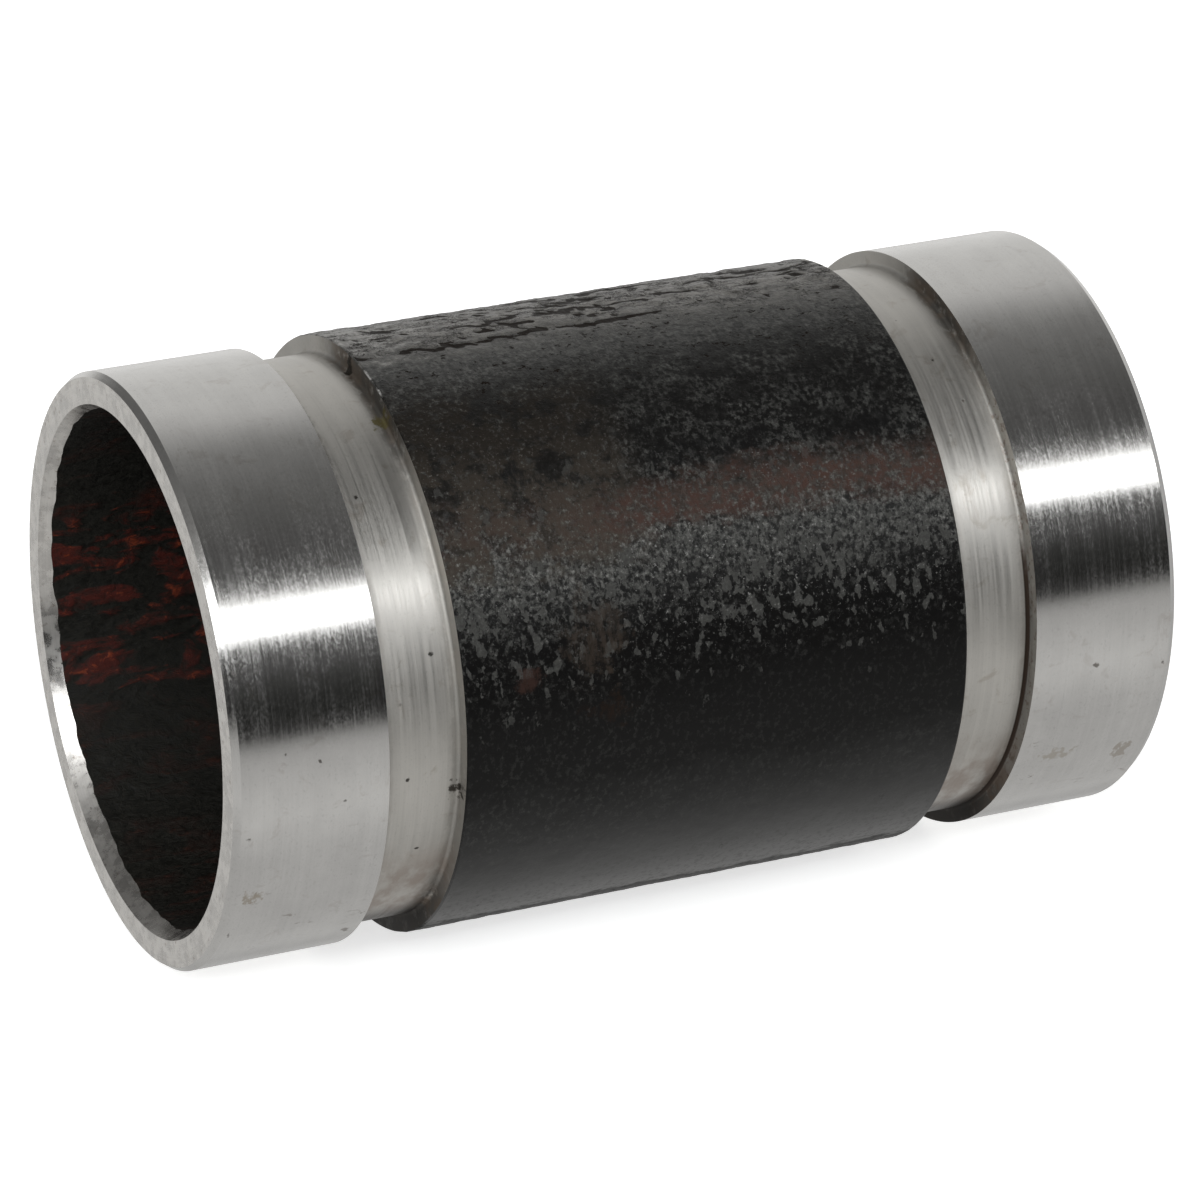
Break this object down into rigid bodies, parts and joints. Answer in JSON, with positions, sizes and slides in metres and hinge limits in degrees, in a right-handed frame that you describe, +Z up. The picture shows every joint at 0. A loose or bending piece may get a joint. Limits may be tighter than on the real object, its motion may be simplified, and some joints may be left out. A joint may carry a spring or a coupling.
{
  "type": "grooved pipe nipple",
  "caption": "Short steel pipe with a square-cut groove near each turned end, scaled black between the grooves, open right through.",
  "frame": {"origin": "centre of the pipe, on its axis, midway between the two end faces", "axes": "+X along the pipe's axis, +Z up with the pipe lying on its side"},
  "size_m": [0.1016, 0.0608, 0.0608],
  "materials": {
    "black_steel": "turned bright at both ends and in the grooves, black mill scale between them, scaled and rusty in the bore"
  },
  "bodies": {
    "root": {"grooved_pipe_nipple": "black_steel"}
  },
  "joints": []
}
